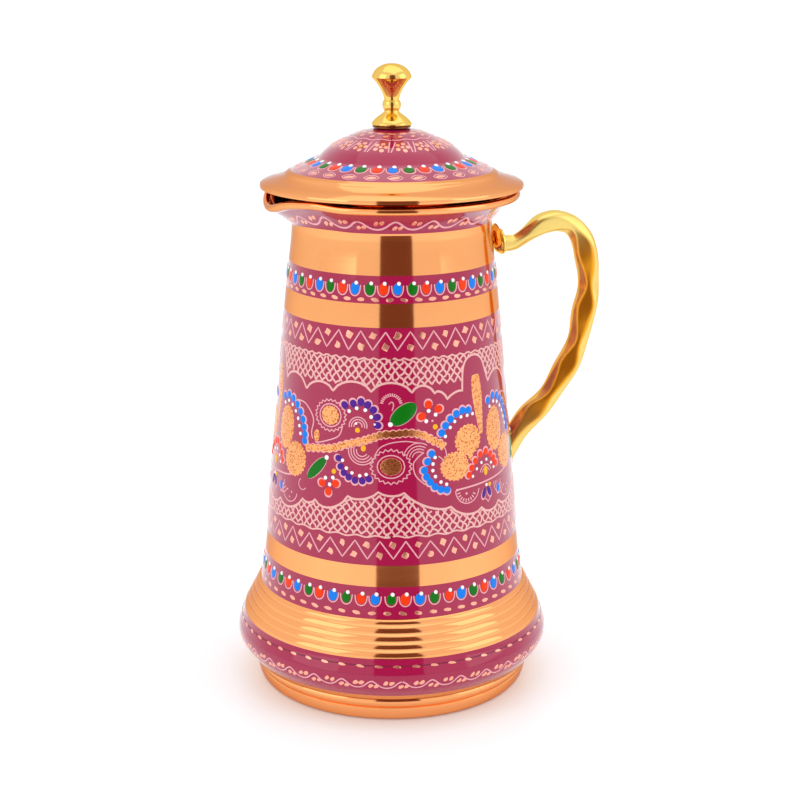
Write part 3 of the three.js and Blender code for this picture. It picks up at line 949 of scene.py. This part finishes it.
def net(face, low, high, columns):
    """Two families of slanted lines between a low and a high edge."""
    for lean_way in (1, -1):
        for k in range(columns):
            run = []
            for j in range(NET_STEPS + 1):
                up = low(0) - 1.5 + j * NET_ROW / 2
                turn = 360 * (k + lean_way * j * 0.25) / columns
                turn += random.uniform(-0.55, 0.55)
                between = low(turn) <= up <= high(turn)
                if between:
                    run.append((turn, up + random.uniform(-0.35, 0.35)))
                if (not between or j == NET_STEPS) and len(run) > 1:
                    stroke(face, "net", run, NET_WIDTH, rise=0.06, smooth=False)
                if not between:
                    run = []


def ripple(middle, size, waves):
    """A gently rippled edge."""
    return lambda turn: middle + size * math.sin(math.radians(turn) * waves)


upper_top = ripple(169.8, 0.5, 72)
lower_foot = ripple(88.7, 0.45, 40)
net(jug_face, lambda t: edge_height(upper_edge, t), upper_top, 90)
net(jug_face, lower_foot, lambda t: edge_height(lower_edge, t), 96)
for k in range(360 // REPEAT):
    stroke(jug_face, "net", [(t + REPEAT * k, u) for t, u in upper_edge], 1.2, smooth=False)
    stroke(jug_face, "net", [(t + REPEAT * k, u) for t, u in lower_edge], 1.2, smooth=False)
for edge in (upper_top, lower_foot):
    stroke(jug_face, "net", [(t * 1.5, edge(t * 1.5)) for t in range(241)], 0.9, closed=True, smooth=False)
print("nets done:", len(jug_face.store["net"][1]), "faces")

# %% [markdown]
# ### The flower field
# One spray is drawn and repeated three times round the jug. Petals are cut to bare copper and
# stippled, and enamel beads follow their curves. Each bead sits on a slightly larger engraved scallop.

# %% Beads and petals
def beads(places, colour, size, middle):
    """Enamel beads, each with an engraved scallop on the side away from the middle of them all."""
    cx = sum(t for t, u in places) / len(places) if middle is None else middle[0]
    cy = sum(u for t, u in places) / len(places) if middle is None else middle[1]
    for turn, up in places:
        dx, dy = turn - cx, up - cy
        far = math.hypot(dx, dy) or 1
        tilt = math.degrees(math.atan2(dy, dx)) - 90
        rim = jug_face.shift(turn, up, 0.45 * dx / far, 0.45 * dy / far)
        patch(jug_face, "pink", *rim, oval(size[0] + 1.0, size[1] + 1.1, tilt), 0.09)
        patch(jug_face, colour, turn, up, oval(*size, tilt), 0.32, (0.85, 0.5))


def bead_arc(colour, size, middle, places, white_places, white_size):
    """A curve of beads round a middle, with a curve of white dots inside it."""
    beads(places, colour, size, middle)
    dots(jug_face, "white", white_places, white_size)


def petal(turn, up, wide, tall, tilt, waves):
    """A scalloped petal cut down to the copper, with stippling."""
    sides = waves * 3
    rim = oval(wide + 0.5, tall + 0.5, tilt, sides, 0.09, waves)
    patch(jug_face, "pink", turn, up, rim, 0.05)
    copper_face = oval(wide - 0.2, tall - 0.2, tilt, sides, 0.1, waves)
    patch(jug_face, "stipple", turn, up, copper_face, 0.12, (0.93, 0.6))


# %% [markdown]
# A spear is the long petal that stands beside each flower head, and a leaf is a smooth drop of green
# enamel. Both need an outline of their own, because neither is an oval.

# %% Spears and leaves
def spear(turn, up, tall, top, foot, tilt):
    """A long copper petal that narrows towards its foot."""
    for colour, more, rise, rings in (("pink", 0.4, 0.05, (0.8,)), ("stipple", 0, 0.12, (0.9, 0.5))):
        shape = []
        for k in range(56):
            a = math.tau * k / 56
            level = math.sin(a)
            half = foot + (top - foot) * min(1, (level + 1) / 1.3) + 0.35 * abs(math.sin(a * 14))
            x = (half + more) * math.copysign(abs(math.cos(a)) ** 0.28, math.cos(a))
            shape.append((x, (tall / 2 + more) * level))
        patch(jug_face, colour, turn, up, tilted(shape, tilt), rise, rings)


def leaf(start, end, wide):
    """A green leaf from a white dot to its tip, with a fine engraved rim."""
    (t0, u0), (t1, u1) = start, end
    middle = ((t0 + t1) / 2, (u0 + u1) / 2)
    dx = math.radians(t1 - t0) * jug_face.radius(u0)
    dy = u1 - u0
    length, tilt = math.hypot(dx, dy), math.degrees(math.atan2(dy, dx))
    for colour, more, rise in (("pink", 0.8, 0.08), ("green", 0, 0.3)):
        shape = []
        for k in range(20):
            a = math.tau * k / 20
            x = (length + more) / 2 * math.cos(a)
            y = (wide + more) / 2 * math.copysign(abs(math.sin(a)) ** 0.95, math.sin(a))
            shape.append((x, y))
        patch(jug_face, colour, *middle, tilted(shape, tilt), rise, (0.85, 0.5))
    dots(jug_face, "white", [start], 2.4, 0.45)


# %% [markdown]
# The rest of the spray is line work: rosettes with a ring and a zigzag, shells of curved lines that lie
# inside each other, and fans of short strokes.

# %% Rosettes, shells and fans
def rosette(turn, up, disc, ring, zig):
    """A stippled copper disc in an engraved ring and a zigzag ring, each (half width, half height)."""
    teeth = 22
    petal(turn, up, disc[0] * 2, disc[1] * 2, 0, 14)
    curl(jug_face, turn, up, ring[0], 0, 360, 0.65, ring[1])
    line = []
    for k in range(teeth * 2 + 1):
        a = math.tau * k / (teeth * 2)
        reach = 1.07 if k % 2 else 0.93
        line.append(jug_face.shift(turn, up, zig[0] * reach * math.cos(a), zig[1] * reach * math.sin(a)))
    stroke(jug_face, "pink", line, 0.65, smooth=False)


def shell(turn, up, radii, start, end):
    """Concentric engraved arcs."""
    for radius in radii:
        curl(jug_face, turn, up, radius, start, end, 0.6)


def fan(turn, up, radius, start, end, rays):
    """A fan of short strokes round a half circle."""
    for k in range(rays + 1):
        a = math.radians(start + (end - start) * k / rays)
        across, rise = radius * math.cos(a), radius * math.sin(a)
        ray = [jug_face.shift(turn, up, across * s, rise * s) for s in (0.72, 1)]
        stroke(jug_face, "pink", ray, 0.7, smooth=False)


def further_round(off):
    """Two helpers that move things `off` degrees round: one takes many places, the other a single one."""
    def at(*places):
        return [(turn + off, up) for turn, up in places]

    def one(turn, up):
        return turn + off, up

    return at, one


print("petals, beads, leaves and rosettes ready")

# %% [markdown]
# Between two flower heads a rope-like branch swings across, with rosettes, leaves and buds on it.
# Every place is given once, and `off` says how far round this copy of the spray is.

# %% Between the flower heads
def draw_branch(off):
    """Everything between two flower heads, `off` degrees round."""
    at, one = further_round(off)
    rope = at((-44.3, 125.4), (-37.2, 126.5), (-29.1, 127.6), (-21.3, 130.3), (-13.9, 132.4), (-9.1, 134.0),
              (-4.3, 135.6), (1.9, 136.0), (7.6, 136.4), (13.0, 135.6), (16.9, 133.9), (20.2, 131.9),
              (23.4, 130.3), (25.2, 128.6))
    waves = [2.7 + 1.5 * abs(math.sin(math.pi * k / 8)) for k in range(200)]
    stroke(jug_face, "pink", rope, [w + 0.8 for w in waves], 0.06, step=0.45)
    stroke(jug_face, "stipple", rope, waves, 0.16, step=0.45)
    sweep = at((-52.7, 146.2), (-47.0, 145.9), (-42.3, 142.4), (-40.3, 138.5), (-41.2, 133.4), (-40.3, 130.3))
    stroke(jug_face, "pink", sweep, 0.75)
    stem = at((-38.6, 129.0), (-35.0, 129.7), (-27.7, 132.4), (-25, 134.5), (-23.7, 138.6))
    stroke(jug_face, "pink", stem, 0.65)
    patch(jug_face, "stipple", *one(-37.9, 132.2), oval(3.6, 6.2, 0, 16, 0.04, 8), 0.1)
    rosette(*one(-30.6, 142.6), (4.6, 4.4), (5.6, 5.2), (7.8, 7.0))
    rosette(*one(-0.3, 121.1), (4.9, 4.0), (6.2, 5.2), (9.0, 7.6))
    stem = at((-8.0, 125.5), (-5.5, 129.6), (-0.5, 131.9), (6.5, 132.6), (12.5, 131.6))
    stroke(jug_face, "pink", stem, 0.6)
    bead_arc("purple", (3.7, 4.1), one(-15.5, 141),
             at((-23.0, 148.2), (-18.6, 149.2), (-14.8, 150.2), (-11.5, 149.0), (-8.7, 146.8),
                (-6.9, 143.6), (-6.7, 139.9)),
             at((-20.6, 145.6), (-16.9, 147.2), (-12.6, 146.6), (-9.7, 143.6), (-7.7, 140.2)), 1.9)
    bead_arc("purple", (3.5, 3.6), one(-15.5, 124),
             at((-25.2, 123.6), (-24.0, 119.9), (-22.3, 117.2), (-19.8, 115.4), (-16.8, 114.2),
                (-13.4, 114.2), (-10.4, 115.3)),
             at((-23.1, 122.8), (-21.1, 119.4), (-18.3, 117.5), (-14.6, 116.5), (-11.6, 117.3)), 1.8)
    shell(*one(-16.0, 139.0), (1.9, 3.1, 4.2), -10, 190)
    dots(jug_face, "yellow", at((-16.2, 137.2)), 2.5)
    dots(jug_face, "white", at((-17.0, 140.2)), 1.3)
    shell(*one(-13.8, 128.0), (2.6, 3.9, 5.2, 6.4), 165, 330)
    patch(jug_face, "yellow", *one(-13.2, 129.2), oval(2.6, 3.2, 0, 10), 0.3, (0.85, 0.5))
    fan(*one(-0.2, 149.4), 5.1, 10, 170, 13)
    stroke(jug_face, "pink", at((-1.4, 149.6), (0.0, 150.6), (0.9, 149.4), (0.2, 146.6)), 0.55)
    leaf(*at((-0.6, 140.4), (11.8, 149.6)), 8.2)
    leaf(*at((-31.4, 123.0), (-42.4, 111.4)), 5.4)
    bead_arc("red", (4.0, 4.3), None, at((-33.3, 110.9), (-26.2, 111.6), (-29.8, 107.4)),
             at((-31.6, 113.6), (-27.7, 114.2), (-29.2, 110.8)), 2.0)
    bead_arc("red", (4.0, 4.3), None, at((17.8, 148.8), (22.9, 146.4), (14.4, 143.6)),
             at((17.8, 145.9), (21.3, 143.9), (16.5, 141.3)), 2.0)
    dots(jug_face, "yellow", at((-27.3, 117.2), (20.9, 138.4)), 2.6)
    dots(jug_face, "pink", at((19.6, 141.2)), 1.2, 0.15)
    for radius in (7.0, 5.6, 4.3, 3.0):
        curl(jug_face, *one(12.5, 124.6), radius, 55, 170, 0.55)
    stem = at((15.0, 127.2), (11.6, 124.6), (9.9, 121.7), (11.0, 116.6), (15.2, 112.4))
    stroke(jug_face, "pink", stem, 0.65)
    stroke(jug_face, "pink", at((23.0, 130.6), (25.6, 127.6), (26.2, 124.0)), 0.6)
    stroke(jug_face, "pink", at((22.0, 124.8), (24.2, 122.8), (24.0, 120.4)), 0.6)


# %% [markdown]
# A flower head is a fan of copper petals. Curves of blue and red beads follow their outer edges,
# and a curve of white dots runs inside each of them.

# %% One flower head
def draw_head(off):
    """A flower head of copper petals in arcs of beads, `off` degrees round."""
    at, one = further_round(off)
    spear(*one(46.6, 145.2), 30, 3.3, 1.1, 4)
    petal(*one(58.6, 131.6), 13.6, 20.5, -4, 22)
    petal(*one(68.4, 118.6), 15.4, 16.5, -24, 22)
    petal(*one(38.8, 130.0), 15.2, 14.2, 6, 20)
    patch(jug_face, "stipple", *one(39.6, 123.4), oval(3.4, 7.5, 3, 12), 0.1)
    petal(*one(30.4, 119.0), 15.4, 13.2, -8, 22)
    bead_arc("blue", (4.0, 4.0), one(38, 132),
             at((24.1, 135.2), (26.2, 138.3), (29.0, 141.0), (32.4, 143.0), (36.1, 144.0), (39.7, 143.6)),
             at((25.9, 133.4), (28.7, 137.2), (31.3, 139.6), (35.0, 141.2), (38.8, 141.3), (42.3, 141.5)),
             1.8)
    bead_arc("blue", (3.9, 4.0), one(58, 132),
             at((54.6, 145.4), (59.2, 146.9), (63.6, 146.0), (67.4, 143.9), (70.3, 141.0), (72.4, 137.8),
                (73.7, 134.5), (74.5, 131.3), (74.6, 128.3)),
             at((55.6, 142.4), (59.4, 144.1), (63.2, 143.0), (66.4, 140.6), (68.7, 137.6), (70.1, 134.4),
                (71.3, 131.0)), 1.8)
    bead_arc("blue", (3.9, 3.7), one(27, 119),
             at((18.7, 126.2), (16.6, 122.8), (15.0, 118.9), (16.0, 115.8), (17.7, 113.3), (19.9, 110.9),
                (22.8, 109.3), (25.8, 108.7)),
             at((20.3, 124.4), (19.2, 121.5), (19.0, 118.5), (20.2, 115.6), (22.8, 112.8), (25.6, 111.4)),
             1.8)
    bead_arc("red", (3.6, 3.7), one(48, 112.5),
             at((38.0, 113.6), (39.8, 116.6), (42.4, 119.4), (45.8, 121.8), (49.8, 122.4), (53.2, 120.6),
                (55.6, 118.0), (57.2, 115.2)),
             at((40.2, 112.6), (42.9, 115.6), (46.2, 117.9), (49.9, 118.6), (53.3, 116.4), (55.2, 113.8)),
             1.6)
    patch(jug_face, "yellow", *one(48.9, 113.6), oval(2.7, 5.0, 0, 12), 0.3, (0.85, 0.5))
    shell(*one(49, 112.4), (2.6, 4.0), 15, 165)
    stroke(jug_face, "pink", at((30.9, 107.9), (39.1, 108.2), (48.5, 108.6), (56.9, 109.2), (64.5, 110.2),
                                (70.5, 112.5)), 0.9)
    curl(jug_face, *one(36.9, 107.6), 6.9, 180, 350, 0.6)
    fan(*one(36.4, 107.0), 5.6, 190, 330, 8)
    dots(jug_face, "pink", at((30.9, 107.8), (36.0, 105.4)), 1.4, 0.15)
    beads(at((46.9, 103.2), (50.6, 103.4)), "purple", (2.9, 5.6), one(48.8, 108))
    dots(jug_face, "yellow", at((51.2, 106.6)), 2.3)
    dots(jug_face, "white", at((48.9, 106.8)), 1.7)
    stroke(jug_face, "pink", at((47.6, 100.6), (49.6, 98.6), (51.8, 101.0)), 0.6, smooth=False)
    for radius in (2.2, 3.6, 5.0):
        curl(jug_face, *one(59.5, 107.0), radius, 180, 320, 0.5, radius * 1.3)
    curl(jug_face, *one(65.8, 103.6), 6.0, 150, 350, 0.6)
    dots(jug_face, "pink", at((64.0, 103.0), (67.5, 102.4), (66.0, 99.8)), 1.1, 0.12)
    beads(at((57.9, 103.2)), "blue", (2.8, 5.0), one(57.9, 108))
    curl(jug_face, *one(75.0, 108.0), 2.6, 120, 330, 0.5)


for k in range(360 // REPEAT):
    draw_branch(REPEAT * k)
    draw_head(REPEAT * k)
print("sprays done")

# %% [markdown]
# ### The lid's rings of marks
# The lid repeats the drops, with leaf-shaped dashes outside them, and carries flowers near the knob.
# On the lid, `up` is the distance from the axis, so the drops are flipped to point outward.

# %% Marks on the lid
LEAVES, LEAF_FIRST, LEAF_RING = 26, 1.9, 43.6
LEAF_SIDE = ((-3.5, -0.2), (-1.6, 1.5), (1.4, 1.7), (3.6, 0.2))
LID_FLOWERS, LID_PETALS, FLOWER_RING = 16, 5, 24.9
drop_row(lid_face, 33, 0.6, 37.4, ("blue", "green", "red"), (5.2, 5.3), 2.1,
         LEAF_RING, LEAVES, LEAF_FIRST, (5.8, 2.4), -1)
for k in range(LEAVES):
    turn = LEAF_FIRST + 360 * k / LEAVES
    for way in (-1, 1):
        arc = [lid_face.shift(turn, LEAF_RING, x, way * y) for x, y in LEAF_SIDE]
        stroke(lid_face, "pink", arc, 0.5)
for k in range(LID_FLOWERS):
    turn = -11.4 + 360 / LID_FLOWERS * k
    for j in range(LID_PETALS):
        a = math.tau * j / LID_PETALS
        spot = lid_face.shift(turn, FLOWER_RING, 2.5 * math.cos(a), 2.5 * math.sin(a))
        patch(lid_face, "chip", *spot, uneven(oval(2.5, 2.5, 0, 8)))
    patch(lid_face, "yellow" if k % 4 == 3 else "chip", turn, FLOWER_RING, oval(2.0, 2.0, 0, 8), 0.16)
    low_left, low_right = lid_face.shift(turn, 28.4, 4.2, 0), lid_face.shift(turn, 28.4, 5.4, 0)
    stroke(lid_face, "pink", [lid_face.shift(turn, 21.0, 3.2, 0), low_left], 0.7, smooth=False)
    stroke(lid_face, "pink", [low_right, lid_face.shift(turn, 21.0, 5.8, 0)], 0.7, smooth=False)
    patch(lid_face, "chip", turn + 11.2, 13.6, uneven(oval(4.0, 2.2, 10, 8)))
    patch(lid_face, "chip", turn + 2, 16.6, uneven(oval(3.0, 1.5, -20, 8)))
stroke(lid_face, "pink", [(t * 4, 19.2 + 0.45 * math.sin(t)) for t in range(91)], 0.6, closed=True)
print("lid marks done:", len(lid_face.store["pink"][1]), "faces of cut lines")

# %% [markdown]
# ### Colours of the marks
# Cut lines show pale pink where the graver left the copper bright and rough.
# The stippled petals get small dark dimples from a cell pattern. The enamels are glossy paint.

# %% Pigments
def stippled(material, shader, bright, dark=(0.45, 0.09, 0.02)):
    """Small dark dimples in a bright colour."""
    nodes, links = material.node_tree.nodes, material.node_tree.links
    where = nodes.new("ShaderNodeTexCoord")
    cells = nodes.new("ShaderNodeTexVoronoi")
    cells.inputs["Scale"].default_value = 900
    dimple = nodes.new("ShaderNodeMapRange")
    dimple.inputs["From Min"].default_value = 0.15
    dimple.inputs["From Max"].default_value = 0.5
    tone = nodes.new("ShaderNodeMix")
    tone.data_type = "RGBA"
    tone.inputs["A"].default_value = (*dark, 1)
    tone.inputs["B"].default_value = (*bright, 1)
    links.new(where.outputs["Object"], cells.inputs["Vector"])
    links.new(cells.outputs["Distance"], dimple.inputs["Value"])
    links.new(dimple.outputs["Result"], tone.inputs["Factor"])
    links.new(tone.outputs["Result"], shader.inputs["Base Color"])


COLOURS = {
    "pink": ((0.84, 0.40, 0.44), 0.2, 0.4),
    "net": ((0.83, 0.45, 0.42), 0.2, 0.4),
    "chip": ((0.97, 0.44, 0.31), 0.85, 0.25),
    "stipple": ((0.97, 0.41, 0.16), 1.0, 0.24),
    "shade": ((0.12, 0.005, 0.02), 0.0, 0.4),
    "blue": ((0.0, 0.2, 0.8), 0.0, 0.3),
    "green": ((0.0, 0.16, 0.002), 0.0, 0.3),
    "red": ((0.88, 0.04, 0.0), 0.0, 0.3),
    "purple": ((0.08, 0.01, 0.25), 0.0, 0.3),
    "white": ((0.95, 0.9, 0.92), 0.0, 0.3),
    "yellow": ((0.9, 0.45, 0.01), 0.0, 0.3),
}
# The shade mark is no cut: it is a thin dark ring of painted shade, and like the cut marks it gets no coat.
UNCOATED_MARKS = ("pink", "net", "chip", "stipple", "shade")
pigments = {}
for word, (colour, metal, rough) in COLOURS.items():
    cut = word in UNCOATED_MARKS
    pigments[word], pigment_shader = surface("mark " + word, colour, metal, rough, 0.0 if cut else 0.12)
    pigment_shader.inputs["Specular IOR Level"].default_value = 0.4 if cut else 0.15
    if word == "stipple":
        stippled(pigments[word], pigment_shader, colour)
print("pigments:", ", ".join(pigments))

# %% [markdown]
# Thousands of marks would be slow as single objects. All marks of one colour on the jug, or on the lid,
# become one mesh, which rides on the body that it is cut in.

# %% Turn the stored marks into pieces
def relief_piece(name, marks, material, body):
    """One mesh with all marks of one colour on one surface."""
    verts, faces = marks
    mesh = bpy.data.meshes.new(name)
    mesh.from_pydata([(x * MM, y * MM, z * MM) for x, y, z in verts], [], faces)
    piece = make_outward(mesh)
    mesh.materials.append(material)
    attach(piece, body)
    print(name, len(mesh.polygons), "faces")


for face in (jug_face, lid_face):
    for word, marks in face.store.items():
        relief_piece(f"{face.body}_marks_{word}", marks, pigments[word], face.body)

# %% [markdown]
# ## Screws and washers inside
# These hold the handle and the knob from inside. They come straight from the CAD model, because plain
# screws need no more shape than they have there, and they only get their brass.

# %% Brass for the carried-over fixings
for name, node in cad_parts.items():
    if not node.hide_render:
        node.data.materials.clear()
        node.data.materials.append(brass)
        print("brass on", name)

# %% [markdown]
# ## Studio
# Polished metal looks like what stands round it, so the room matters as much as the jug.
# It is white, with a white table and three large soft lamps.

# %% White room and table
world = bpy.data.worlds.new("white room")
bpy.context.scene.world = world
world.use_nodes = True
world.node_tree.nodes["Background"].inputs["Color"].default_value = (1, 1, 1, 1)
world.node_tree.nodes["Background"].inputs["Strength"].default_value = 1.0

bpy.ops.mesh.primitive_plane_add(size=24, location=(0, 0, 0))
table = bpy.context.active_object
table.name = "table"
table_white, table_shader = surface("table white", (0.9, 0.93, 0.95), rough=0.4)
table_shader.inputs["Emission Color"].default_value = (1, 1, 1, 1)
table_shader.inputs["Specular IOR Level"].default_value = 0.25
table_shader.inputs["Emission Strength"].default_value = 0.1
table.data.materials.append(table_white)
print("table:", [round(side) for side in table.dimensions], "m")

# %% [markdown]
# The lamps are large, because a small one would show as a hard spot on the copper.

# %% Soft lamps
JUG_MIDDLE = Vector((0, 0, 0.14))


def soft_light(name, place, size, power):
    """A large soft lamp that faces the jug."""
    data = bpy.data.lights.new(name, "AREA")
    data.shape = "RECTANGLE"
    data.size, data.size_y = size
    data.energy = power
    lamp = bpy.data.objects.new(name, data)
    bpy.context.scene.collection.objects.link(lamp)
    lamp.location = place
    lamp.rotation_euler = (JUG_MIDDLE - Vector(place)).to_track_quat("-Z", "Y").to_euler()


soft_light("lamp overhead", (0.1, 0.1, 1.6), (1.6, 1.6), 4)
soft_light("lamp left", (-1.5, -0.5, 0.9), (1.2, 1.4), 4)
soft_light("lamp right", (1.4, -0.9, 0.9), (1.2, 1.4), 4)
print("lamps:", len(bpy.data.lights))

# %% [markdown]
# A dark gap is left in the white room behind the camera, which polished copper shows as one dark upright
# stripe. A card stands for it. It runs out along the table, then up, and only reflections see it.

# %% The dark gap behind the camera
GAP_TURN, GAP_HALF_TURN = 5, 17.5
GAP_NEAR, GAP_FAR, GAP_TOP = 0.36, 1.25, 1.5
gap_turn = math.radians(FRONT_TURN + GAP_TURN)
to_camera = Vector((math.cos(gap_turn), math.sin(gap_turn), 0))
sideways = Vector((-to_camera.y, to_camera.x, 0))
gap_half = math.tan(math.radians(GAP_HALF_TURN))
gap_mesh = bpy.data.meshes.new("dark gap")
gap_rows = [(GAP_NEAR, 0.001), (GAP_FAR, 0.001), (GAP_FAR, GAP_TOP)]
gap_mesh.from_pydata([to_camera * far + sideways * (far * gap_half * s) + Vector((0, 0, up))
                      for far, up in gap_rows for s in (-1, 1)], [], [(0, 1, 3, 2), (2, 3, 5, 4)])
gap = bpy.data.objects.new("dark gap", gap_mesh)
bpy.context.scene.collection.objects.link(gap)
gap_dark, _ = surface("dark gap", (0.16, 0.06, 0.04), rough=0.9)
gap_mesh.materials.append(gap_dark)
gap.visible_camera = False
gap.visible_diffuse = False
gap.visible_shadow = False
print("dark gap:", 2 * GAP_HALF_TURN, "degrees wide")
